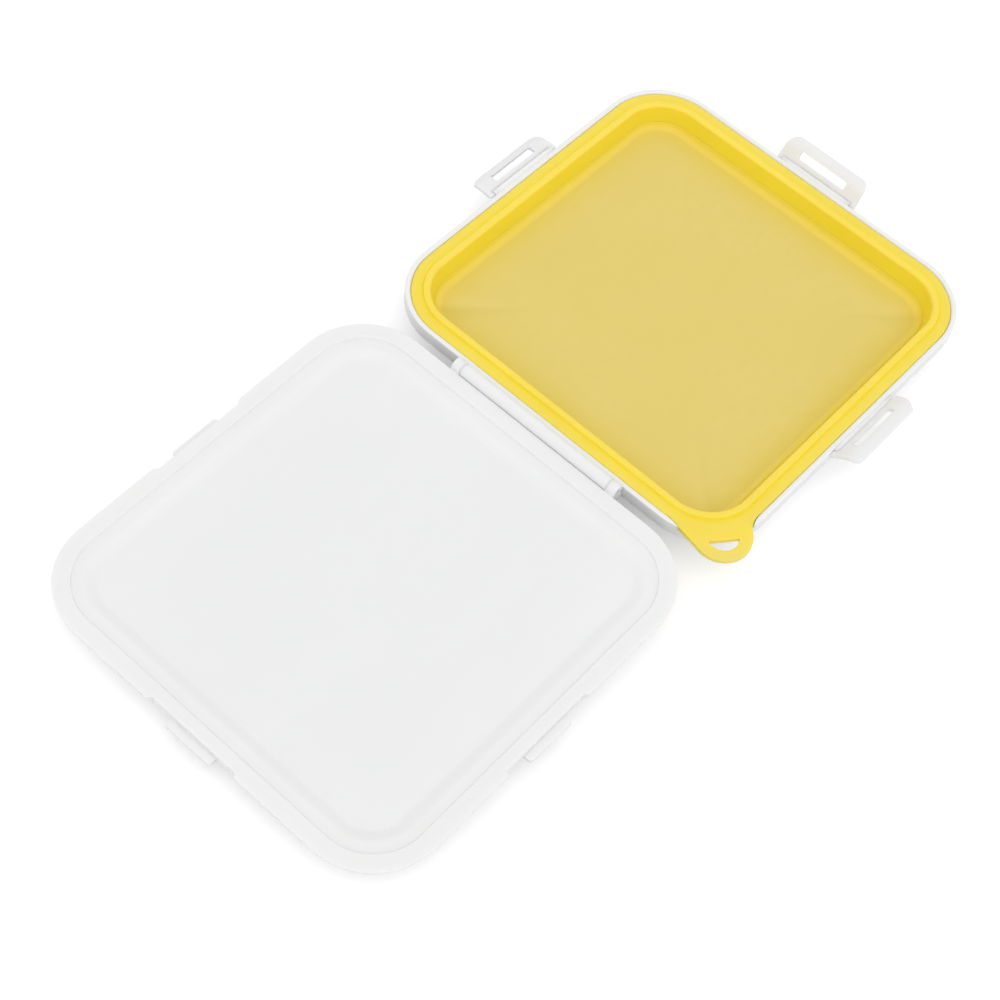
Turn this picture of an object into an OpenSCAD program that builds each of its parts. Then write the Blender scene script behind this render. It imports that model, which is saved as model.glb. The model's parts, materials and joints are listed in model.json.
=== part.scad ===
// Wet palette: a shallow square box with a hinged lid, three slotted latches and a lift-out silicone tray
// that holds a sponge and a sheet of palette paper. Millimetres, +Z up, origin centred on the underside.
// The lid is drawn open, drooping a little below level. The hinge is on +Y and the front latch on -Y.

/* [Base] */
// Outer size of the square base
base_size = 150; // [146:1:156]
// Height of the rim above the table
rim_height = 16; // [15.5:0.5:18]
// Outer radius of the corners of the base
corner_radius = 24.5; // [23.5:0.5:26]
// Width of the lip that stands around the tray's flange
lip_width = 1.9; // [1.8:0.1:2.2]
// Height of the skirt below the rim
skirt_height = 5.3; // [4.5:0.1:6]
// Wall thickness of the pan and its floor
shell_wall = 1.6; // [1.3:0.1:1.6]
// Radius around the bottom of the pan
pan_radius = 4.5; // [3:0.5:5]

/* [Lid] */
// How much farther the lid reaches than the base, on each side of its own centre
lid_overhang = 0.6; // [0.3:0.1:0.8]
// Thickness of the lid at its rim
lid_thickness = 4.35; // [4:0.05:4.6]
// Radius around the outer edge of the lid
lid_edge_radius = 3.8; // [2.5:0.1:3.8]
// Depth of the ledge that meets the sealing bead
ledge_depth = 0.65; // [0.65:0.05:1.1]
// Depth of the sunk panel
panel_depth = 2.3; // [2:0.1:2.5]
// Width of each latch tab
tab_width = 19; // [16:0.5:19.5]
// How far each tab stands out of its notch
tab_reach = 2.8; // [2.2:0.1:2.9]
// Angle at which the open lid droops below level
lid_droop = 1.6; // [0:0.1:1.8]

/* [Hinge] */
// Radius of the hinge barrel
barrel_radius = 2.45; // [2.2:0.05:2.45]
// Length of the middle knuckle, which belongs to the base
knuckle_length = 63; // [50:1:64]
// Length of each end ear, which belongs to the lid
ear_length = 3.6; // [3.3:0.1:5]
// Radius of the hinge pin
pin_radius = 0.9; // [0.7:0.05:1.1]

/* [Latches] */
// Half width of a latch at its root
latch_root = 17.3; // [17:0.1:17.6]
// Half width of a latch near its tip
latch_tip = 17; // [16.5:0.1:17]
// Angle through which a latch's tip curls down
latch_curl = 47; // [20:1:50]
// Thickness of a latch
latch_thickness = 1.3; // [1.1:0.1:1.4]
// Half length of the slot that takes the tab
slot_half = 10.2; // [9.9:0.1:11]
// Tilt of the front latch above level, as it is drawn
front_tilt = 55; // [-60:1:80]
// Tilt of the left latch above level, as it is drawn
left_tilt = 35; // [-60:1:80]
// Tilt of the right latch above level, as it is drawn
right_tilt = -2; // [-60:1:80]
// Distance of the two side latches from the middle of their sides, towards the front
side_shift = 1.5; // [0:0.1:2]

/* [Tray] */
// Thickness of the tray's flange
flange_thickness = 1.6; // [1.4:0.1:1.8]
// Height of the sealing bead above the rim
bead_height = 0.5; // [0.3:0.05:0.55]
// Radius of the pull tab's round end
pull_radius = 10; // [9.4:0.1:10.2]
// Depth from the rim to the face of the paper
paper_depth = 8.5; // [8:0.1:8.8]
// Thickness of the sponge
sponge_thickness = 4.2; // [3.8:0.1:4.4]

/* [Hidden] */
$fn = 96;
white = [0.93, 0.93, 0.93];
yellow = [0.95, 0.83, 0.3];
overrun = 1;
nip = 0.1;

// Every outline around the box is swept about these corner centres, so its distances are counted from them.
half = base_size / 2;
core = half - corner_radius;

// Heights of the base. The flange lies a little below the lip, on the shelf.
flange_top = rim_height - 0.35;
shelf_top = flange_top - flange_thickness;
shelf_bottom = shelf_top - 1.5;
skirt_bottom = rim_height - skirt_height;
lip_round = 0.4;
lip_ease = 0.8;

// Widths of the base, as half sizes of the square
lip_inner = half - lip_width;
skirt_inner = half - 1.8;
pan_inner = half - 7.2;
pan_draft = 2.4;

// Hinge: the axis lies in the rim plane, midway between the base and the open lid.
hinge_gap = 5.4;
hinge_y = half + hinge_gap / 2;
seat_gap = 0.1;
side_play = 0.25;
pin_play = 0.05;
pin_recess = 0.4;
knuckle_half = knuckle_length / 2;
ear_start = knuckle_half + side_play;
ear_end = ear_start + ear_length;

// Lid, laid out level with its rim plane facing up and then turned about the hinge by its droop
lid_half = half + lid_overhang;
lid_corner = corner_radius + lid_overhang;
lid_y = half + hinge_gap + lid_half;
lid_rim = rim_height - seat_gap;
lid_back = lid_rim - lid_thickness;
rim_width = 5.6;
ledge_end = 9;
panel_start = 14.3;
back_field_depth = 0.55;
notch_depth = 1.4;
notch_half = latch_root + 1.5;
notch_slope = 1.5;
tab_drop = 2.75;
tab_thickness = 1.5;

// Latches: the pivot is just outside the skirt and just below the rim.
pivot_out = half + 1;
pivot_z = rim_height - 0.6;
latch_knuckle_radius = 1.15;
latch_knuckle_half = 15;
latch_ear_radius = 0.7;
trunnion_radius = 0.55;
trunnion_play = 0.05;
trunnion_length = 1.6;
bore_length = trunnion_length + 0.3;
plate_start = 1.45;
curl_start = 4.8;
curl_radius = 6;
latch_end = curl_start + curl_radius * sin(latch_curl) + latch_thickness / 2;
latch_corner = 4.1;
slot_start = 2.9;
slot_end = 6.05;
slot_round = 0.6;

// Tray
flange_half = lip_inner - 0.12;
flange_round = 0.5;
bead_outer = half - 5.9;
bead_inner = half - 7.7;
bead_round = 0.3;
tray_top_half = half - 8.9;
tray_floor_half = half - 12;
tray_wall = 1.3;
tray_floor = 1.2;
bead_top = rim_height + bead_height;
paper_top = rim_height - paper_depth;
paper_thickness = 0.3;
sponge_top = paper_top - paper_thickness;
tray_floor_top = sponge_top - sponge_thickness;
tray_bottom = tray_floor_top - tray_floor;
foot_round = 1.5;
tray_edge_round = 2.5;
sponge_half = tray_floor_half - 0.3;
sponge_chamfer = 1.2;
paper_half = tray_floor_half + 0.4;

// Pull tab, on the corner between -X and +Y: a round end placed from the corner centre, a straight flank on
// the +Y side that leans away from the flange's edge, and a hollow blend into the -X edge
flange_radius = flange_half - core;
pull_angle = 141;
pull_distance = 24;
pull_lean = 10;
pull_blend = 9.5;
pull_play = 0.35;
hole_flat = pull_distance + 2.2;
hole_depth = 3.9;
hole_half = 5.15;
hole_radius = (hole_half * hole_half + hole_depth * hole_depth) / (2 * hole_depth);

// Points of an arc, from one angle to another
function arc(centre, radius, from, to, steps = 6) =
    [for (i = [0:steps]) let (angle = from + (to - from) * i / steps)
        centre + radius * [cos(angle), sin(angle)]];

// Sweeps a half section around the square of the corner centres
module around() {
    for (turn = [0, 90, 180, 270]) {
        rotate(turn) translate([core, 0, 0]) rotate([90, 0, 0])
            linear_extrude(2 * core, center = true) children();
        rotate(turn) translate([core, core, 0]) rotate_extrude(angle = 90) children();
    }
}

// Fills the square of the corner centres between two heights
module middle(bottom, top) {
    translate([-core, -core, bottom]) cube([2 * core, 2 * core, top - bottom]);
}

// Section of the base, from the corner centre outwards
module base_section() {
    pan_outer = pan_inner + shell_wall - core;
    pan_foot = pan_outer - pan_draft;
    inner_top = pan_inner - core;
    inner_foot = inner_top - pan_draft;
    inner_round = pan_radius - shell_wall;
    polygon(concat(
        [[0, 0]],
        arc([pan_foot - pan_radius, pan_radius], pan_radius, -90, 0),
        [[pan_outer, shelf_bottom], [skirt_inner - core, shelf_bottom], [skirt_inner - core, skirt_bottom]],
        [[corner_radius, skirt_bottom]],
        arc([corner_radius - lip_round, rim_height - lip_round], lip_round, 0, 90, 3),
        arc([lip_inner - core + lip_ease, rim_height - lip_ease], lip_ease, 90, 180, 4),
        [[lip_inner - core, shelf_top], [inner_top, shelf_top]],
        arc([inner_foot - inner_round, shell_wall + inner_round], inner_round, 0, -90),
        [[0, shell_wall]]
    ));
}

// Places a latch or its knuckle on one side of the base: turn 0 is +X, 180 -X and -90 -Y
module on_side(turn) {
    translate([0, turn == -90 ? 0 : -side_shift, 0]) rotate(turn)
        translate([pivot_out, 0, pivot_z]) children();
}

// Knuckle that a latch snaps into, on a web from the lip. Each end has a blind bore for a trunnion.
module latch_knuckle() {
    web_length = pivot_out - half + overrun;
    web_top = rim_height - nip - pivot_z;
    difference() {
        union() {
            rotate([90, 0, 0]) cylinder(h = 2 * latch_knuckle_half, r = latch_knuckle_radius, center = true);
            translate([-web_length, -latch_knuckle_half, -latch_knuckle_radius])
                cube([web_length, 2 * latch_knuckle_half, latch_knuckle_radius + web_top]);
        }
        for (end = [-1, 1])
            translate([0, end * latch_knuckle_half, 0]) rotate([90, 0, 0])
                cylinder(h = 2 * bore_length, r = trunnion_radius + trunnion_play, center = true);
    }
}

// Middle knuckle of the lid hinge, on a gusset that runs into the skirt
module hinge_knuckle() {
    gusset_foot = 0.6;
    press_fit = 0.02;
    difference() {
        union() {
            translate([0, hinge_y, rim_height]) rotate([0, 90, 0])
                cylinder(h = knuckle_length, r = barrel_radius, center = true);
            translate([-knuckle_half, 0, 0]) rotate([90, 0, 90]) linear_extrude(knuckle_length) polygon([
                [half - overrun, rim_height - nip],
                [half - overrun, skirt_bottom + gusset_foot],
                [half + gusset_foot, skirt_bottom + gusset_foot],
                [hinge_y + nip, rim_height - barrel_radius + nip],
                [hinge_y, rim_height - nip]
            ]);
        }
        translate([0, hinge_y, rim_height]) rotate([0, 90, 0])
            cylinder(h = knuckle_length + 2 * overrun, r = pin_radius + press_fit, center = true);
    }
}

// Outline of the pull tab, with play added all round for the gap that it lies in. Its curves cross each other
// and the flange's edge by the depth of the nip, because edges that only touch don't join cleanly.
module pull_outline(play = 0) {
    reach = pull_radius + play;
    lobe = [-core, core] + pull_distance * [cos(pull_angle), sin(pull_angle)];
    touch = lobe + (reach - nip) * [sin(pull_lean), cos(pull_lean)];
    foot_y = flange_half - 1;
    blend_x = -flange_half - pull_blend + nip;
    blend_y = lobe[1] - sqrt(pow(pull_radius + pull_blend - nip, 2) - pow(lobe[0] - blend_x, 2));
    translate(lobe) circle(r = reach);
    difference() {
        polygon([
            [-core, core],
            [blend_x, blend_y],
            lobe,
            touch,
            [touch[0] + (touch[1] - foot_y) / tan(pull_lean), foot_y]
        ]);
        translate([blend_x, blend_y]) circle(r = pull_blend - play);
    }
}

// D-shaped hole in the pull tab, with its straight side towards the tray
module pull_hole() {
    translate([-core, core]) rotate(pull_angle) intersection() {
        translate([hole_flat + hole_depth - hole_radius, 0]) circle(r = hole_radius);
        translate([hole_flat, -hole_radius]) square([hole_depth + overrun, 2 * hole_radius]);
    }
}

module base_shell() color(white) {
    difference() {
        union() {
            around() base_section();
            middle(0, shell_wall);
        }
        translate([0, 0, shelf_top - nip]) linear_extrude(rim_height) difference() {
            pull_outline(pull_play);
            translate([-core, core]) circle(r = flange_radius - 0.5);
        }
    }
    hinge_knuckle();
    for (turn = [0, 180, -90])
        on_side(turn) latch_knuckle();
}

// Section of the lid as it lies open, from the corner centre outwards
module lid_section() {
    edge = lid_corner;
    edge_round = 0.25;
    slope = ledge_end - panel_start;
    polygon(concat(
        [[0, lid_back + back_field_depth], [edge - panel_start, lid_back + back_field_depth]],
        [[edge - panel_start + 1.2, lid_back]],
        arc([edge - lid_edge_radius, lid_back + lid_edge_radius], lid_edge_radius, -90, 0),
        arc([edge - edge_round, lid_rim - edge_round], edge_round, 0, 90, 3),
        [[edge - rim_width, lid_rim], [edge - rim_width - 0.3, lid_rim - ledge_depth]],
        [for (i = [0:6]) [
            edge - ledge_end + slope * i / 6,
            lid_rim - ledge_depth - (panel_depth - ledge_depth) * (1 - cos(30 * i)) / 2
        ]],
        [[0, lid_rim - panel_depth]]
    ));
}

// Places a notch or tab on one edge of the level lid, counted from the notch's wall. Those at the two sides
// are as far beyond the hinge as the side latches are before it, so that they meet when the lid is closed.
module on_lid_edge(turn) {
    translate([0, turn == 90 ? lid_y : 2 * hinge_y + side_shift, 0]) rotate(turn)
        translate([lid_half - notch_depth, 0, 0]) children();
}

// Notch for a latch, with sloping ends, cut through the whole thickness of the lid
module notch() {
    outside = notch_depth + overrun;
    spread = notch_half + notch_slope * overrun / notch_depth;
    translate([0, 0, lid_back - overrun]) linear_extrude(lid_thickness + 2 * overrun) polygon([
        [0, notch_slope - notch_half],
        [outside, -spread],
        [outside, spread],
        [0, notch_half - notch_slope]
    ]);
}

// Tab that a latch's slot drops over
module latch_tab() {
    tab_round = 1.2;
    tab_root = 3;
    translate([0, 0, lid_rim - tab_drop - tab_thickness]) linear_extrude(tab_thickness) polygon(concat(
        [[-tab_root, -tab_width / 2]],
        arc([tab_reach - tab_round, tab_round - tab_width / 2], tab_round, -90, 0, 4),
        arc([tab_reach - tab_round, tab_width / 2 - tab_round], tab_round, 0, 90, 4),
        [[-tab_root, tab_width / 2]]
    ));
}

// Where a point that is given from the hinge axis, as it is at rest, lies while the lid is level
function raised(y, z) = [
    hinge_y + y * cos(lid_droop) - z * sin(lid_droop),
    rim_height + y * sin(lid_droop) + z * cos(lid_droop)
];

// Ear of the lid hinge, on the level lid. At rest its heel meets the skirt, and so stops the lid there.
module hinge_ear(start) {
    heel_out = half + seat_gap - hinge_y;
    heel_drop = skirt_height - 0.3;
    arm_end = half + hinge_gap + lid_edge_radius;
    translate([start, hinge_y, rim_height]) rotate([0, 90, 0]) cylinder(h = ear_length, r = barrel_radius);
    translate([start, 0, 0]) rotate([90, 0, 90]) linear_extrude(ear_length) polygon([
        [hinge_y, lid_rim],
        [hinge_y - 1.2, rim_height - barrel_radius + 0.5],
        raised(heel_out, -barrel_radius),
        raised(heel_out, -heel_drop),
        [hinge_y, rim_height - heel_drop],
        [arm_end, lid_back],
        [arm_end, lid_rim]
    ]);
}

// Lid with its latch tabs and hinge ears, level
module level_lid() {
    difference() {
        translate([0, lid_y, 0]) {
            around() lid_section();
            middle(lid_back + back_field_depth, lid_rim - panel_depth);
        }
        for (turn = [0, 90, 180])
            on_lid_edge(turn) notch();
    }
    for (turn = [0, 90, 180])
        on_lid_edge(turn) latch_tab();
    for (start = [-ear_end, ear_start])
        hinge_ear(start);
}

// The level lid is bored for the pin and turned down about the hinge to where it rests when it is open.
module lid_shell() color(white) {
    translate([0, hinge_y, rim_height]) rotate([-lid_droop, 0, 0]) translate([0, -hinge_y, -rim_height])
        difference() {
            level_lid();
            translate([0, hinge_y, rim_height]) rotate([0, 90, 0])
                cylinder(h = 2 * (ear_end + overrun), r = pin_radius + pin_play, center = true);
        }
}

module hinge_pin() color("silver") {
    translate([0, hinge_y, rim_height]) rotate([0, 90, 0])
        cylinder(h = 2 * (ear_end - pin_recess), r = pin_radius, center = true);
}

// Latch, seen from above with the pivot along Y and the tip towards +X
module latch_outline() {
    trim = 0.02;
    corner_x = latch_end - trim - latch_corner;
    corner_y = latch_tip - latch_corner;
    along = corner_x - plate_start;
    aside = latch_root - corner_y;
    lean = acos(latch_corner / norm([along, aside])) - atan2(along, aside);
    difference() {
        polygon(concat(
            [[plate_start, -latch_root]],
            arc([corner_x, -corner_y], latch_corner, lean - 90, 0, 8),
            arc([corner_x, corner_y], latch_corner, 0, 90 - lean, 8),
            [[plate_start, latch_root]]
        ));
        polygon(concat(
            arc([slot_start + slot_round, slot_round - slot_half], slot_round, 180, 270, 3),
            arc([slot_end - slot_round, slot_round - slot_half], slot_round, 270, 360, 3),
            arc([slot_end - slot_round, slot_half - slot_round], slot_round, 0, 90, 3),
            arc([slot_start + slot_round, slot_half - slot_round], slot_round, 90, 180, 3)
        ));
    }
}

// Section of a latch's plate, from its root outwards: flat, then curling down to a round tip
module latch_section() {
    skin = latch_thickness / 2;
    curl_centre = [curl_start, -curl_radius];
    tip = curl_centre + curl_radius * [sin(latch_curl), cos(latch_curl)];
    step = 22.5;
    polygon(concat(
        [[plate_start, -skin]],
        arc(curl_centre, curl_radius - skin, 90, 90 - latch_curl, 8),
        arc(tip, skin, step - 90 - latch_curl, 90 - latch_curl - step, 6),
        arc(curl_centre, curl_radius + skin, 90 - latch_curl, 90, 8),
        [[plate_start, skin]]
    ));
}

// One latch: the slotted plate, two ears beside the base's knuckle, and the trunnions inside it
module latch() {
    ear_play = 0.2;
    ear_inner = latch_knuckle_half + ear_play;
    ear_width = latch_root - ear_inner;
    ear_arm = [plate_start + nip, ear_width, latch_thickness];
    intersection() {
        rotate([90, 0, 0]) linear_extrude(2 * (latch_root + overrun), center = true) latch_section();
        linear_extrude(2 * curl_radius, center = true) latch_outline();
    }
    for (side = [0, 1]) {
        mirror([0, side, 0]) {
            translate([0, latch_root, 0]) rotate([90, 0, 0]) cylinder(h = ear_width, r = latch_ear_radius);
            translate([0, ear_inner, -latch_thickness / 2]) cube(ear_arm);
            translate([0, ear_inner + nip, 0]) rotate([90, 0, 0])
                cylinder(h = nip + ear_play + trunnion_length, r = trunnion_radius);
        }
    }
}

module front_latch() color(white) on_side(-90) rotate([0, -front_tilt, 0]) latch();
module left_latch() color(white) on_side(180) rotate([0, -left_tilt, 0]) latch();
module right_latch() color(white) on_side(0) rotate([0, -right_tilt, 0]) latch();

// Section of the tray, from the corner centre outwards
module tray_section() {
    outer_top = tray_top_half + tray_wall - core;
    outer_foot = tray_floor_half + tray_wall - core;
    inner_top = tray_top_half - core;
    inner_foot = tray_floor_half - core;
    inner_bead = bead_inner - inner_top - core;
    polygon(concat(
        [[0, tray_bottom]],
        arc([outer_foot - tray_edge_round, tray_bottom + tray_edge_round], tray_edge_round, -90, 0),
        [[outer_top, shelf_top], [flange_radius, shelf_top]],
        arc([flange_radius - flange_round, flange_top - flange_round], flange_round, 0, 90, 3),
        [[bead_outer - core, flange_top]],
        arc([bead_outer - core - 2 * bead_round, bead_top - bead_round], bead_round, 0, 90, 3),
        arc([inner_top + inner_bead, bead_top - inner_bead], inner_bead, 90, 180),
        arc([inner_foot - foot_round, tray_floor_top + foot_round], foot_round, 0, -90),
        [[0, tray_floor_top]]
    ));
}

module liner_tray() color(yellow) {
    difference() {
        union() {
            around() tray_section();
            middle(tray_bottom, tray_floor_top);
            translate([0, 0, shelf_top]) linear_extrude(flange_thickness) difference() {
                pull_outline();
                translate([-core, core]) circle(r = flange_radius - 2);
            }
        }
        translate([0, 0, shelf_top - overrun]) linear_extrude(flange_thickness + 2 * overrun) pull_hole();
    }
}

module sponge() color([0.93, 0.82, 0.4]) {
    edge = sponge_half - core;
    around() polygon([
        [0, tray_floor_top],
        [edge - sponge_chamfer, tray_floor_top],
        [edge, tray_floor_top + sponge_chamfer],
        [edge, sponge_top],
        [0, sponge_top]
    ]);
    middle(tray_floor_top, sponge_top);
}

module palette_paper() color([0.95, 0.93, 0.8]) {
    around() translate([0, sponge_top]) square([paper_half - core, paper_thickness]);
    middle(sponge_top, paper_top);
}

base_shell();
lid_shell();
hinge_pin();
front_latch();
left_latch();
right_latch();
liner_tray();
sponge();
palette_paper();
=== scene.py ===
import json
import math

import bmesh
import bpy
from mathutils import Matrix, Vector, noise


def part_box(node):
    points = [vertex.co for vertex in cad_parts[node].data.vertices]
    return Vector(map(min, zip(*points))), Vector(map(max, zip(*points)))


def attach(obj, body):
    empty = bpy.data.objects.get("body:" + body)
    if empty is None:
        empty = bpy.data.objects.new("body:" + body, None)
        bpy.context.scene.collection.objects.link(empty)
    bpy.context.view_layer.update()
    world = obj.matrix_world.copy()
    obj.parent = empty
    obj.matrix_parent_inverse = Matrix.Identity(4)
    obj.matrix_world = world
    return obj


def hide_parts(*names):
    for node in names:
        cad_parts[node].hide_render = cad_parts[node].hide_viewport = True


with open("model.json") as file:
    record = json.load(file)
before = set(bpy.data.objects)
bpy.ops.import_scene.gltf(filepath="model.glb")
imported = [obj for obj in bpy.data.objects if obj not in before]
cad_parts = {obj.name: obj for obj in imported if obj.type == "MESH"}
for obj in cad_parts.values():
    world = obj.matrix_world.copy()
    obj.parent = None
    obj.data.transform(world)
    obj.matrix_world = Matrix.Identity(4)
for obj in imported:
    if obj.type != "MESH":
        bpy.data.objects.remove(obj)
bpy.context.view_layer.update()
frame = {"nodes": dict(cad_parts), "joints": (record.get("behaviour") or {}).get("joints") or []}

MM = 0.001
UP = Vector((0, 0, 1))
scene = bpy.context.scene
joints = {joint["name"]: joint for joint in frame["joints"]}
LATCHES = ("front", "left", "right")

# Sizes of the CAD part that the script repeats, because the nodes' boxes don't give them.
HALF = 75 * MM                      # half size of the base's rim
RIM = 16 * MM                       # level of the base's rim
CORE = 50.5 * MM                    # corner centres of the box's rounded squares
HINGE_KNUCKLE_HALF = 31.5 * MM      # half length of the base's knuckle in the hinge
EAR_START = 31.75 * MM              # inner faces of the lid's ears
LID_EDGE = 80.4 * MM                # the open lid's edge beside the hinge
LID_RIM = 15.9 * MM                 # level of the open lid's rim
LATCH_KNUCKLE_HALF = 15 * MM        # half length of the knuckle that a latch turns on
LATCH_KNUCKLE_RADIUS = 1.15 * MM
PLATE_START = 1.45 * MM             # root of a latch's plate, from its pivot
FLANGE_HALF = 72.98 * MM            # half size of the tray's flange

WHITE = (0.845, 0.845, 0.845)
LATCH_PAINTED_SHADE = 0.955                 # the latches' white as a share of the shells', darker as painted shade


# ---------------------------------------------------------------- camera, light and floor

def link(obj):
    scene.collection.objects.link(obj)
    return obj


def make_camera():
    """The photograph's camera, solved from the outlines of the base and the lid."""
    azimuth, elevation, roll = math.radians(123.045), math.radians(57.042), math.radians(10.508)
    target = Vector((-10.679 * MM, 107.133 * MM, RIM))
    distance = 654.444 * MM
    towards = Vector((
        math.cos(elevation) * math.cos(azimuth),
        math.cos(elevation) * math.sin(azimuth),
        math.sin(elevation),
    ))
    data = bpy.data.cameras.new("camera")
    data.sensor_width = 36
    data.lens = 74.254
    camera = link(bpy.data.objects.new("camera", data))
    place = Matrix.Translation(target + towards * distance)
    turn = towards.to_track_quat("Z", "Y").to_matrix().to_4x4()
    camera.matrix_world = place @ turn @ Matrix.Rotation(roll, 4, "Z")
    scene.camera = camera


def seen_directly(nodes, links):
    """1 for rays from the camera or through gloss and glass, 0 for those that light the object."""
    path = nodes.new("ShaderNodeLightPath")
    total = path.outputs["Is Camera Ray"]
    for name in ("Is Glossy Ray", "Is Transmission Ray"):
        add = nodes.new("ShaderNodeMath")
        add.operation = "ADD"
        add.use_clamp = True
        links.new(total, add.inputs[0])
        links.new(path.outputs[name], add.inputs[1])
        total = add.outputs[0]
    return total


def make_world(strength):
    """An even light of that strength, which is seen as plain white."""
    world = bpy.data.worlds.new("studio")
    scene.world = world
    world.use_nodes = True
    nodes, links = world.node_tree.nodes, world.node_tree.links
    nodes.clear()
    mix = nodes.new("ShaderNodeMixShader")
    links.new(seen_directly(nodes, links), mix.inputs[0])
    for socket, level in ((mix.inputs[1], strength), (mix.inputs[2], 1)):
        background = nodes.new("ShaderNodeBackground")
        background.inputs["Color"].default_value = (1, 1, 1, 1)
        background.inputs["Strength"].default_value = level
        links.new(background.outputs[0], socket)
    out = nodes.new("ShaderNodeOutputWorld")
    links.new(mix.outputs[0], out.inputs["Surface"])


def make_lamp(name, direction, energy, spread):
    data = bpy.data.lights.new(name, "SUN")
    data.energy = energy
    data.angle = spread
    lamp = link(bpy.data.objects.new(name, data))
    lamp.rotation_euler = Vector(direction).to_track_quat("Z", "Y").to_euler()


def make_floor(reach, grey, glow):
    """A pale floor that keeps the object's shadow. It glows just enough to be seen as white around it."""
    gap = 0.05 * MM             # below the part's underside
    mesh = bpy.data.meshes.new("floor")
    corners = [(-reach, -reach, -gap), (reach, -reach, -gap), (reach, reach, -gap), (-reach, reach, -gap)]
    mesh.from_pydata(corners, [], [(0, 1, 2, 3)])
    material = bpy.data.materials.new("pale_floor")
    material.use_nodes = True
    nodes, links = material.node_tree.nodes, material.node_tree.links
    nodes.clear()
    paint = nodes.new("ShaderNodeBsdfDiffuse")
    paint.inputs["Color"].default_value = (grey, grey, grey, 1)
    light = nodes.new("ShaderNodeEmission")
    light.inputs["Color"].default_value = (1, 1, 1, 1)
    amount = nodes.new("ShaderNodeMath")
    amount.operation = "MULTIPLY"
    amount.inputs[1].default_value = glow
    links.new(seen_directly(nodes, links), amount.inputs[0])
    links.new(amount.outputs[0], light.inputs["Strength"])
    both = nodes.new("ShaderNodeAddShader")
    links.new(paint.outputs[0], both.inputs[0])
    links.new(light.outputs[0], both.inputs[1])
    out = nodes.new("ShaderNodeOutputMaterial")
    links.new(both.outputs[0], out.inputs["Surface"])
    mesh.materials.append(material)
    floor = link(bpy.data.objects.new("floor", mesh))


# ---------------------------------------------------------------- materials

MIX_ONE, MIX_TWO, MIX_RESULT = 6, 7, 2      # a Mix node's sockets for colours


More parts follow.
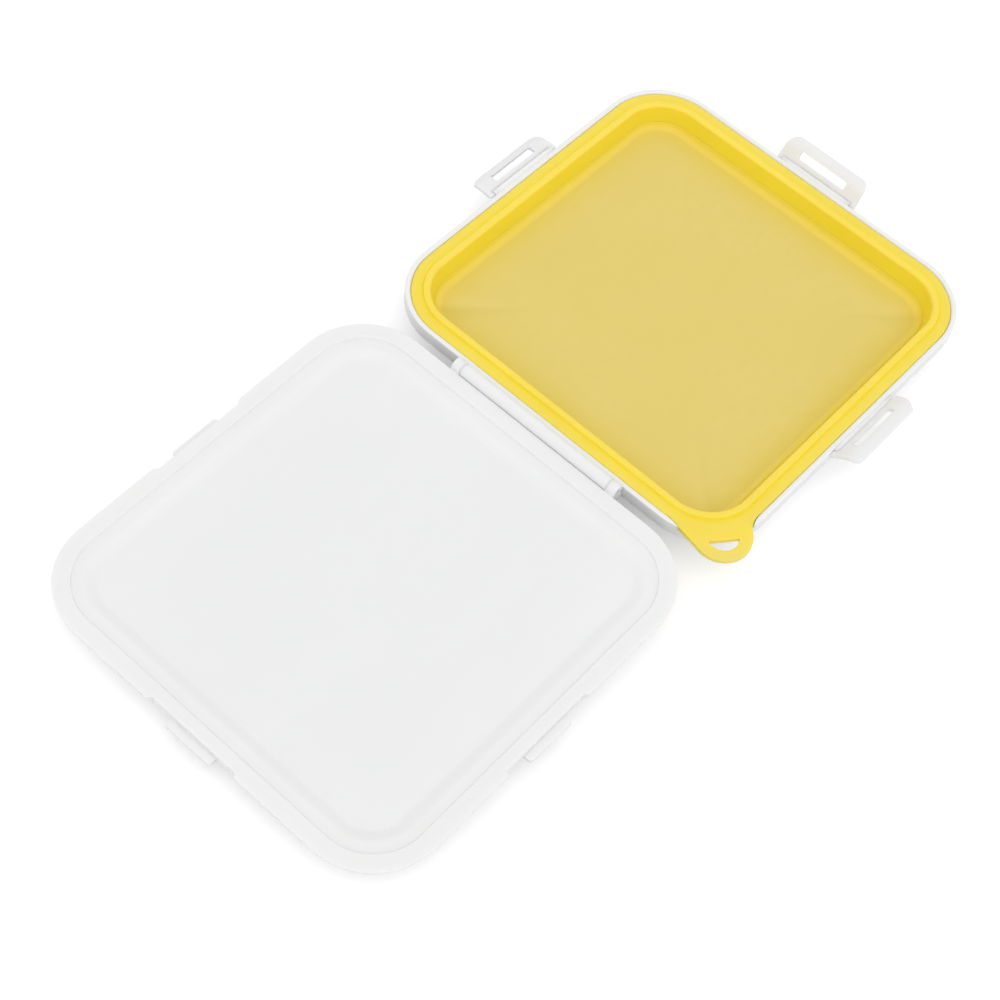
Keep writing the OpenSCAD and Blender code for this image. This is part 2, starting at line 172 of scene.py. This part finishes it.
class Surface:
    """A procedural material: a Principled shader with noise for its colour, roughness and fine relief."""

    def __init__(self, name):
        self.material = bpy.data.materials.new(name)
        self.material.use_nodes = True
        self.nodes = self.material.node_tree.nodes
        self.links = self.material.node_tree.links
        self.shader = self.nodes["Principled BSDF"]
        self.place = self.nodes.new("ShaderNodeTexCoord").outputs["Object"]
        self.relief = None

    def set(self, **values):
        for name, value in values.items():
            self.shader.inputs[name.replace("_", " ")].default_value = value

    def subsurface(self, weight, radius, scale):
        """How much light goes into the material, and how far."""
        self.set(Subsurface_Weight=weight, Subsurface_Radius=radius, Subsurface_Scale=scale)

    def attribute(self, name):
        node = self.nodes.new("ShaderNodeAttribute")
        node.attribute_name = name
        return node.outputs["Fac"]

    def noise(self, scale, detail=2, stretch=(1, 1, 1), distortion=0):
        mapping = self.nodes.new("ShaderNodeMapping")
        mapping.inputs["Scale"].default_value = stretch
        self.links.new(self.place, mapping.inputs["Vector"])
        node = self.nodes.new("ShaderNodeTexNoise")
        node.inputs["Scale"].default_value = scale
        node.inputs["Detail"].default_value = detail
        node.inputs["Distortion"].default_value = distortion
        self.links.new(mapping.outputs[0], node.inputs["Vector"])
        return node.outputs["Fac"]

    def cells(self, scale):
        """The distance from the middle of the nearest cell."""
        node = self.nodes.new("ShaderNodeTexVoronoi")
        node.inputs["Scale"].default_value = scale
        self.links.new(self.place, node.inputs["Vector"])
        return node.outputs["Distance"]

    def vector(self, operation, source, value=(0, 0, 0)):
        node = self.nodes.new("ShaderNodeVectorMath")
        node.operation = operation
        self.links.new(source, node.inputs[0])
        node.inputs[1].default_value = value
        return node.outputs["Value" if operation in ("LENGTH", "DOT_PRODUCT") else "Vector"]

    def ramp(self, value, low, high, first=0, last=1):
        """first where the value is low or less, last where it is high or more, and even in between."""
        node = self.nodes.new("ShaderNodeMapRange")
        node.inputs["From Min"].default_value = low
        node.inputs["From Max"].default_value = high
        node.inputs["To Min"].default_value = first
        node.inputs["To Max"].default_value = last
        self.links.new(value, node.inputs["Value"])
        return node.outputs[0]

    def stops(self, value, stops):
        """Colours at given places from 0 to 1 along a value."""
        node = self.nodes.new("ShaderNodeValToRGB")
        self.links.new(value, node.inputs["Fac"])
        elements = node.color_ramp.elements
        while len(elements) < len(stops):
            elements.new(0.5)
        for element, (place, colour) in zip(elements, stops):
            element.position = place
            element.color = (*colour, 1)
        return node.outputs["Color"]

    def ring_stops(self, stops):
        """Colours at given half sizes of the rounded squares around the box's corner centres."""
        low, high = stops[0][0], stops[-1][0]
        corner = (CORE, CORE, 1)            # a metre up, so that the level doesn't count
        beyond = self.vector("SUBTRACT", self.vector("ABSOLUTE", self.place), corner)
        distance = self.vector("LENGTH", self.vector("MAXIMUM", beyond))
        share = self.ramp(distance, low - CORE, high - CORE)
        return self.stops(share, [((size - low) / (high - low), colour) for size, colour in stops])

    def mix(self, mode, factor, one, two):
        """Mixes two colours. Each value is another node's output or is set on the Mix node itself."""
        node = self.nodes.new("ShaderNodeMix")
        node.data_type = "RGBA"
        node.blend_type = mode
        for number, value in ((0, factor), (MIX_ONE, one), (MIX_TWO, two)):
            if isinstance(value, bpy.types.NodeSocket):
                self.links.new(value, node.inputs[number])
            else:
                node.inputs[number].default_value = (*value, 1) if isinstance(value, tuple) else value
        return node.outputs[MIX_RESULT]

    def blend(self, factor, one, two):
        return self.mix("MIX", factor, one, two)

    def tint(self, one, two):
        return self.mix("MULTIPLY", 1, one, two)

    def colour(self, source):
        self.links.new(source, self.shader.inputs["Base Color"])

    def rough(self, source):
        self.links.new(source, self.shader.inputs["Roughness"])

    def bump(self, height, depth, strength):
        """Adds relief over what is there already."""
        node = self.nodes.new("ShaderNodeBump")
        node.inputs["Strength"].default_value = strength
        node.inputs["Distance"].default_value = depth
        self.links.new(height, node.inputs["Height"])
        if self.relief is not None:
            self.links.new(self.relief, node.inputs["Normal"])
        self.relief = node.outputs[0]
        self.links.new(self.relief, self.shader.inputs["Normal"])


def white_plastic(name, tone):
    """Injection-moulded white plastic: a fine spark-eroded grain, a satin skin and faint flow marks."""
    s = Surface(name)
    flow = s.ramp(s.noise(26, detail=3, stretch=(1, 0.35, 1), distortion=0.6), 0.35, 0.65)
    s.colour(s.blend(flow, tuple(c * 0.985 for c in tone), tone))
    s.rough(s.ramp(s.noise(90, detail=3), 0.3, 0.7, first=0.36, last=0.46))
    s.bump(s.noise(2200, detail=3), depth=0.02 * MM, strength=0.35)
    s.bump(s.noise(45), depth=0.05 * MM, strength=0.5)
    s.set(IOR=1.46)
    s.subsurface(0.5, radius=(1.0, 0.95, 0.9), scale=2 * MM)
    return s.material


def silicone():
    """Cast yellow silicone: light goes a little way into it, and its skin is satin with a fine bloom."""
    s = Surface("yellow_silicone")
    cloud = s.ramp(s.noise(30, detail=3), 0.35, 0.65)
    body = s.blend(cloud, (0.94, 0.705, 0.065), (0.965, 0.73, 0.075))

    # Painted shade deepens the yellow on the wall and in the groove beside the bead, and painted
    # highlights pale it on the bead's top and on the flange. The blue at half sizes in mm:
    painted_light_blue = (
        (65.5, 0.53), (65.98, 0.53), (66.78, 1.4), (68.06, 1.35), (68.78, 0.79),
        (69.18, 0.57), (69.82, 0.79), (70.7, 1.21), (72.7, 1.36), (73.5, 1.15),
    )
    body = s.tint(body, s.ring_stops([(size * MM, (1, 1, amount)) for size, amount in painted_light_blue]))

    # The pull tab points along a diagonal, and its free end is paler.
    pull = s.vector("DOT_PRODUCT", s.place, (-math.sqrt(0.5), math.sqrt(0.5), 0))
    s.colour(s.blend(s.ramp(pull, 95 * MM, 105 * MM), body, (0.84, 0.69, 0.16)))

    s.rough(s.ramp(s.noise(120, detail=3), 0.3, 0.7, first=0.42, last=0.54))
    s.bump(s.noise(1500, detail=3), depth=0.02 * MM, strength=0.35)
    s.bump(s.noise(60), depth=0.05 * MM, strength=0.45)
    s.set(IOR=1.41)
    s.subsurface(0.4, radius=(1.0, 0.6, 0.1), scale=3 * MM)
    return s.material


def paper():
    """Parchment paper on a wet yellow sponge, with a cloudy damp and fine fibres."""
    s = Surface("palette_paper")
    damp = s.ramp(s.noise(22, detail=4, distortion=0.8), 0.3, 0.7)
    fibre = s.ramp(s.noise(420, detail=4, stretch=(1, 0.3, 1)), 0.35, 0.65)
    body = s.blend(damp, (0.75, 0.588, 0.15), (0.774, 0.612, 0.177))
    body = s.blend(fibre, body, (0.76, 0.598, 0.163))

    # "margin" runs from 0 to 1 towards the tray's wall. Near the wall the sheet is painted a deeper
    # yellow, as painted shade. On its curl it takes on the wall's yellow and is painted lighter, as a
    # painted highlight where the curl catches the light.
    body = s.tint(body, s.stops(s.attribute("margin"), (
        (0.0, (1, 1, 1)), (0.29, (1, 1, 0.95)), (0.42, (1, 1, 0.9)), (0.54, (1, 1, 0.8)),
        (0.67, (1, 1, 0.71)), (0.72, (1, 0.995, 0.7)), (0.76, (1.07, 1.05, 0.72)),
        (0.82, (1.12, 1.08, 0.58)), (0.91, (1.2, 1.14, 0.4)),
    )))

    # This attribute is 0.5 on the flat. Painted light and shade: the sheet is paler on a crease's
    # lit side, at 1, and deeper on its shaded side, at 0.
    s.colour(s.tint(body, s.stops(s.attribute("lift"), (
        (0.0, (0.93, 0.92, 0.84)), (0.5, (1, 1, 1)), (1.0, (1.06, 1.06, 1.2)),
    ))))

    s.rough(s.ramp(fibre, 0, 1, first=0.5, last=0.62))
    s.bump(s.noise(900, detail=4, stretch=(1, 0.4, 1)), depth=0.02 * MM, strength=0.4)
    s.set(IOR=1.4)
    s.subsurface(0.1, radius=(1.0, 0.7, 0.3), scale=0.5 * MM)
    return s.material


def foam():
    """Fine open-celled sponge: pores in a matt yellow body, painted dark as painted shade."""
    s = Surface("sponge_foam")
    pores = s.ramp(s.cells(900), 0.1, 0.5)
    cloud = s.ramp(s.noise(35, detail=3), 0.3, 0.7)
    body = s.blend(cloud, (0.80, 0.58, 0.12), (0.86, 0.65, 0.17))
    # Painted shade: the pores are painted dark.
    s.colour(s.blend(pores, (0.5, 0.33, 0.05), body))
    s.rough(s.ramp(pores, 0, 1, first=0.95, last=0.8))
    s.bump(pores, depth=0.25 * MM, strength=0.8)
    s.subsurface(0.2, radius=(1.0, 0.6, 0.2), scale=1.5 * MM)
    return s.material


def steel():
    """Drawn steel wire: fine lengthwise lines."""
    s = Surface("pin_steel")
    lines = s.noise(1400, detail=3, stretch=(0.03, 1, 1))
    s.colour(s.blend(s.ramp(lines, 0.3, 0.7), (0.5, 0.5, 0.51), (0.62, 0.62, 0.63)))
    s.rough(s.ramp(lines, 0.3, 0.7, first=0.24, last=0.4))
    s.set(Metallic=1.0)
    return s.material


# ---------------------------------------------------------------- mouldings
# A moulding is a copy of a CAD node with rounded edges. Its "seat" function brings the places that bear
# on another piece up to it: it takes the copy's bmesh and returns the new place of each moved vertex.

def near(value, size):
    return abs(value - size) < 0.02 * MM


def around(x, y):
    """Half size of the rounded square through that point."""
    out_x, out_y = max(abs(x) - CORE, 0), max(abs(y) - CORE, 0)
    return max(abs(x), abs(y)) if 0 in (out_x, out_y) else CORE + math.hypot(out_x, out_y)


def latch_axes(joint):
    """A latch's pivot, its axis along the side of the base, and the direction out from that side."""
    axis = Vector(joint["axis"])
    return Vector(joint["pos_m"]), axis, UP.cross(axis)


def seat_knuckles(bm):
    """The base's knuckles nearly fill the spaces between the ears that turn on them, and no groove is
    left between the hinge's knuckle and the lip."""
    hinge_growth, latch_growth, groove_fill = 0.19 * MM, 0.13 * MM, 0.09 * MM
    groove_start, groove_end, groove_level = HALF - 0.3 * MM, HALF + 0.4 * MM, RIM - 0.1 * MM
    latch_sides = [latch_axes(joints[f"{side}_latch_pivot"]) for side in LATCHES]
    seated = {}
    for vert in bm.verts:
        x, y, z = vert.co
        if y > HALF - 0.5 * MM and near(abs(x), HINGE_KNUCKLE_HALF):
            seated[vert] = vert.co + Vector((math.copysign(hinge_growth, x), 0, 0))
        elif groove_start < y < groove_end and abs(x) < HINGE_KNUCKLE_HALF and near(z, groove_level):
            seated[vert] = vert.co + UP * groove_fill
        for pivot, axis, out in latch_sides:
            aside = (vert.co - pivot).dot(axis)
            if vert.co.dot(out) > HALF + 0.05 * MM and near(abs(aside), LATCH_KNUCKLE_HALF):
                seated[vert] = vert.co + axis * math.copysign(latch_growth, aside)
    return seated


def seat_lid(bm):
    """Between its ears the lid's edge comes close to the base's hinge knuckle."""
    growth = Vector((0, -0.13 * MM, 0))
    seated = {}
    for vert in bm.verts:
        x, y, z = vert.co
        at_edge = -0.1 * MM < y - LID_EDGE < 0.35 * MM and -0.8 * MM < z - LID_RIM < 0.05 * MM
        if at_edge and near(abs(x), EAR_START):
            seated[vert] = vert.co + growth
    return seated


def seat_flange(bm):
    """The soft flange spreads against the lip around it."""
    growth, lowest = 0.09 * MM, 14 * MM
    seated = {}
    for vert in bm.verts:
        x, y, z = vert.co
        if z > lowest and near(around(x, y), FLANGE_HALF):
            middle = Vector((max(-CORE, min(CORE, x)), max(-CORE, min(CORE, y)), z))
            seated[vert] = vert.co + (vert.co - middle).normalized() * growth
    return seated


def seat_root(joint):
    """The upper half of the root of a latch's plate is hollowed around the knuckle that it turns on. The
    lower half stays flat, to pass the knuckle's web as the latch hangs down."""
    pivot, axis, out = latch_axes(joint)
    tilt = math.radians(90 - joint["range_deg"][1])     # the latch is upright at its upper limit
    along = out * math.cos(tilt) + UP * math.sin(tilt)
    across = axis.cross(along)
    root_half = LATCH_KNUCKLE_HALF + 0.3 * MM
    hollow = LATCH_KNUCKLE_RADIUS + 0.06 * MM
    cuts = (-0.35 * MM, 0, 0.35 * MM)                   # across the root, to let it follow the knuckle

    def at_root(vert):
        offset = vert.co - pivot
        return abs(offset.dot(axis)) < root_half and near(offset.dot(along), PLATE_START)

    def seat(bm):
        for level in cuts:
            root = [face for face in bm.faces if all(at_root(vert) for vert in face.verts)]
            edges = {edge for face in root for edge in face.edges}
            verts = {vert for face in root for vert in face.verts}
            bmesh.ops.bisect_plane(
                bm, geom=[*root, *edges, *verts], plane_co=pivot + across * level, plane_no=across
            )
        seated = {}
        for vert in bm.verts:
            if at_root(vert):
                offset = vert.co - pivot
                reach = math.sqrt(hollow ** 2 - max(offset.dot(across), 0) ** 2)
                seated[vert] = vert.co + along * (reach - offset.dot(along))
        return seated
    return seat


def moulded(node, name, body, material, width, seat, segments=2):
    """A copy of a CAD node with its flat faces merged and its sharp edges rounded as a mould rounds them.
    They are rounded less where the copy is seated on another piece."""
    merge, flat, sharp = 0.004 * MM, math.radians(0.6), math.radians(33)
    seated_share = 0.3
    mesh = frame["nodes"][node].data.copy()
    mesh.name = name
    mesh.materials.clear()
    mesh.materials.append(material)
    bm = bmesh.new()
    bm.from_mesh(mesh)
    bmesh.ops.remove_doubles(bm, verts=bm.verts, dist=merge)
    bmesh.ops.dissolve_limit(bm, angle_limit=flat, verts=bm.verts, edges=bm.edges)
    weight = bm.edges.layers.float.new("bevel_weight_edge")
    seated = seat(bm)
    for edge in bm.edges:
        if edge.is_manifold and edge.calc_face_angle() > sharp:
            edge[weight] = seated_share if any(vert in seated for vert in edge.verts) else 1
    for vert, place in seated.items():
        vert.co = place
    for face in bm.faces:
        face.smooth = True
    bm.to_mesh(mesh)
    bm.free()
    piece = link(bpy.data.objects.new(name, mesh))
    bevel = piece.modifiers.new("edge_rounds", "BEVEL")
    bevel.width = width
    bevel.segments = segments
    bevel.limit_method = "WEIGHT"
    weighted = piece.modifiers.new("flat_normals", "WEIGHTED_NORMAL")
    weighted.keep_sharp = True
    weighted.weight = 100
    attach(piece, body)
    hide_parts(node)


# ---------------------------------------------------------------- sheet and pad

def outline(size, count):
    """Points of the rounded square of that half size, count to a side, from the middle of one corner to
    the next. Inside the corner centres it is a plain square, and rings of it meet in mitres."""
    radius = max(size - CORE, 0)
    straight = min(size, CORE)
    points = []
    for side in range(4):
        turn = Matrix.Rotation(side * math.pi / 2, 2)
        for i in range(count):
            share = 2 * i / count - 1
            length = abs(share) * (straight + math.pi / 4 * radius)
            x, y = straight + radius, length
            if length > straight and radius > 0:
                angle = (length - straight) / radius
                x, y = straight + radius * math.cos(angle), straight + radius * math.sin(angle)
            points.append(turn @ Vector((x, math.copysign(y, share))))
    return points


def lofted(name, rings, count, height, material):
    """A closed form through rings of (half size, level), from the middle of its underside to that of its
    top. height(x, y, level) gives each point's z. Returns the object and each vertex's ring number."""
    bm = bmesh.new()
    loops, ring_numbers = [], []
    for number, (size, level) in enumerate(rings):
        places = outline(size, count) if size > 0 else [Vector((0, 0))]
        loops.append([bm.verts.new((p.x, p.y, height(p.x, p.y, level))) for p in places])
        ring_numbers += [number] * len(places)
    for low, high in zip(loops, loops[1:]):
        total = max(len(low), len(high))
        for i in range(total):
            j = (i + 1) % total
            if len(low) == 1:
                corners = [low[0], high[j], high[i]]
            elif len(high) == 1:
                corners = [low[i], low[j], high[0]]
            else:
                corners = [low[i], low[j], high[j], high[i]]
            bm.faces.new(corners).smooth = True
    bmesh.ops.recalc_face_normals(bm, faces=bm.faces)
    mesh = bpy.data.meshes.new(name)
    bm.to_mesh(mesh)
    bm.free()
    mesh.materials.append(material)
    return link(bpy.data.objects.new(name, mesh)), ring_numbers


def pleats(x, y):
    """How far the sheet is creased along its diagonals near three corners: the crease's height from 0 to
    1, and the painted light on either side of it, from its lit side (1) to its shaded side (-1)."""
    start, growing = 32 * MM, 22 * MM       # in x and y: from the middle, and from there to full height
    narrow, widening = 1 * MM, 0.42         # half width at the start, and its growth per length
    crest = 0.8 * MM                        # from the crease's line to the full painted light of a side
    creases = ((1, 1, 1, 1.0), (-1, -1, -1, 0.6), (-1, 1, -1, 0.4))     # corner, lit side, strength
    height, lift = 0.0, 0.0
    for side_x, side_y, lifted, strength in creases:
        u, v = x * side_x, y * side_y
        along, across = (u + v) / 2 - start, (u - v) * lifted
        if along <= 0:
            continue
        grown = min(along / growing, 1) ** 1.5 * strength
        fall = max(0, 1 - abs(across) / (narrow + widening * along))
        height = max(height, grown * fall)
        lift += grown * fall * (1 if across > 0 else -1) * min(abs(across) / crest, 1)
    return height, lift


def make_paper(sponge_top):
    """The sheet lies on the sponge, creases softly along its diagonals and curls up at the wall."""
    lie = sponge_top + 0.1 * MM
    thick, thinning = 0.14 * MM, 0.7            # and the share of it that is lost towards the edge
    fold = 61.8 * MM                            # where it leaves the sponge
    curl, steep = 2.69 * MM, math.radians(74)   # radius of the curl, and how far round it goes
    curled = fold + curl * steep
    whole = curled + 0.6 * MM                   # half of its flat size, with a straight edge
    dip = 0.25 * MM                             # how much lower its middle is than the fold
    crease, cockle = 0.3 * MM, 0.06 * MM        # heights
    cockles, cockle_slice = 38, 3.1             # per metre, and which slice of the noise they are
    free = 0.6 * MM                             # this far above the sponge the wall keeps it flat
    margin_start, margin_width = 50 * MM, 16 * MM

    def section(s, rise):
        """Half size and level at distance s along the sheet from its middle, and rise in its thickness."""
        dish = dip * (min(s, fold) / fold) ** 4
        angle = min(max(0, s - fold) / curl, steep)
        radius = curl - rise * (1 - thinning * angle / steep)
        beyond = max(0, s - curled)
        return (
            min(s, fold) + radius * math.sin(angle) + beyond * math.cos(steep),
            lie + dish + curl - radius * math.cos(angle) + beyond * math.sin(steep),
        )

    def height(x, y, level):
        loose = min(max(0, 1 - (level - lie) / free), 1)
        wave = noise.noise(Vector((x * cockles, y * cockles, cockle_slice))) * cockle
        return level + (wave + crease * pleats(x, y)[0]) * loose

    flat_steps, curl_steps, per_side = 80, 12, 72
    distances = [fold * i / flat_steps for i in range(flat_steps)]
    distances += [fold + (curled - fold) * i / curl_steps for i in range(curl_steps + 1)]
    distances += [whole]
    rings = [section(s, 0) for s in distances] + [section(whole, thick / 2)]
    rings += [section(s, thick) for s in reversed(distances)]
    sheet, ring_numbers = lofted("palette_sheet", rings, per_side, height, paper())

    ring_distances = distances + [whole] + distances[::-1]
    margin = [max(0.0, (ring_distances[n] - margin_start) / margin_width) for n in ring_numbers]
    sheet.data.attributes.new("margin", "FLOAT", "POINT").data.foreach_set("value", margin)
    # Painted light and shade on the creases' two sides, for the paper's colour.
    lift = [0.5 + 0.5 * pleats(v.co.x, v.co.y)[1] for v in sheet.data.vertices]
    sheet.data.attributes.new("lift", "FLOAT", "POINT").data.foreach_set("value", lift)
    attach(sheet, "paper")
    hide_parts("palette_paper")


def make_sponge(half, bottom, top):
    """A die-cut slab of sponge: softly rounded edges and an uneven, porous face."""
    soft = 0.9 * MM                             # radius of its edges
    grain, grains = 0.05 * MM, 900              # depth of the fine grain, and how many per metre
    pit, pits, pit_slice = 0.06 * MM, 260, 7    # the same for the larger pits, in a slice of their own

    def height(x, y, level):
        depth = grain * noise.noise(Vector((x * grains, y * grains, level * grains)))
        depth += pit * noise.noise(Vector((x * pits, y * pits, pit_slice + level * pits)))
        if level > (bottom + top) / 2:
            return min(level + depth - grain, top)
        return max(level + abs(depth), bottom)

    flat_steps, edge_steps, wall_steps, per_side = 84, 6, 5, 96
    flat = [(half - soft) * i / flat_steps for i in range(flat_steps + 1)]
    arc = [math.pi / 2 * i / edge_steps for i in range(edge_steps + 1)]
    wall = [(top - bottom - 2 * soft) * i / wall_steps for i in range(1, wall_steps)]
    rings = [(size, bottom) for size in flat]
    rings += [(half - soft + soft * math.sin(a), bottom + soft * (1 - math.cos(a))) for a in arc[1:]]
    rings += [(half, bottom + soft + rise) for rise in wall]
    rings += [(half - soft + soft * math.cos(a), top - soft + soft * math.sin(a)) for a in arc[:-1]]
    rings += [(size, top) for size in reversed(flat)]
    slab, _ = lofted("sponge_slab", rings, per_side, height, foam())
    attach(slab, "sponge")
    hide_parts("sponge")


# ---------------------------------------------------------------- the scene

make_camera()
make_world(strength=0.8)
make_lamp("soft_key", direction=(-0.32, 0.28, 0.9), energy=0.8, spread=1.4)
make_floor(reach=6, grey=0.86, glow=0.3)
scene.view_settings.view_transform = "Standard"

shell_white = white_plastic("white_plastic_shell", WHITE)
moulded("base_shell", "base_moulding", "base", shell_white, 0.22 * MM, seat_knuckles)
moulded("lid_shell", "lid_moulding", "lid", shell_white, 0.3 * MM, seat_lid)
# The latches get a darker copy of the white plastic: painted shade on the same plastic.
latch_white_painted_shade = white_plastic("white_plastic_latch_painted_shade", tuple(LATCH_PAINTED_SHADE * c for c in WHITE))
for side in LATCHES:
    latch = f"{side}_latch"
    seat = seat_root(joints[f"{latch}_pivot"])
    moulded(latch, f"{latch}_flap", latch, latch_white_painted_shade, 0.25 * MM, seat, segments=3)
moulded("liner_tray", "silicone_tray", "liner", silicone(), 0.3 * MM, seat_flange)
sponge_low, sponge_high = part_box("sponge")
make_sponge(sponge_high.x, sponge_low.z, sponge_high.z)
make_paper(sponge_high.z)
pin = frame["nodes"]["hinge_pin"]
pin_steel = steel()
for material_slot in pin.material_slots:
    material_slot.material = pin_steel
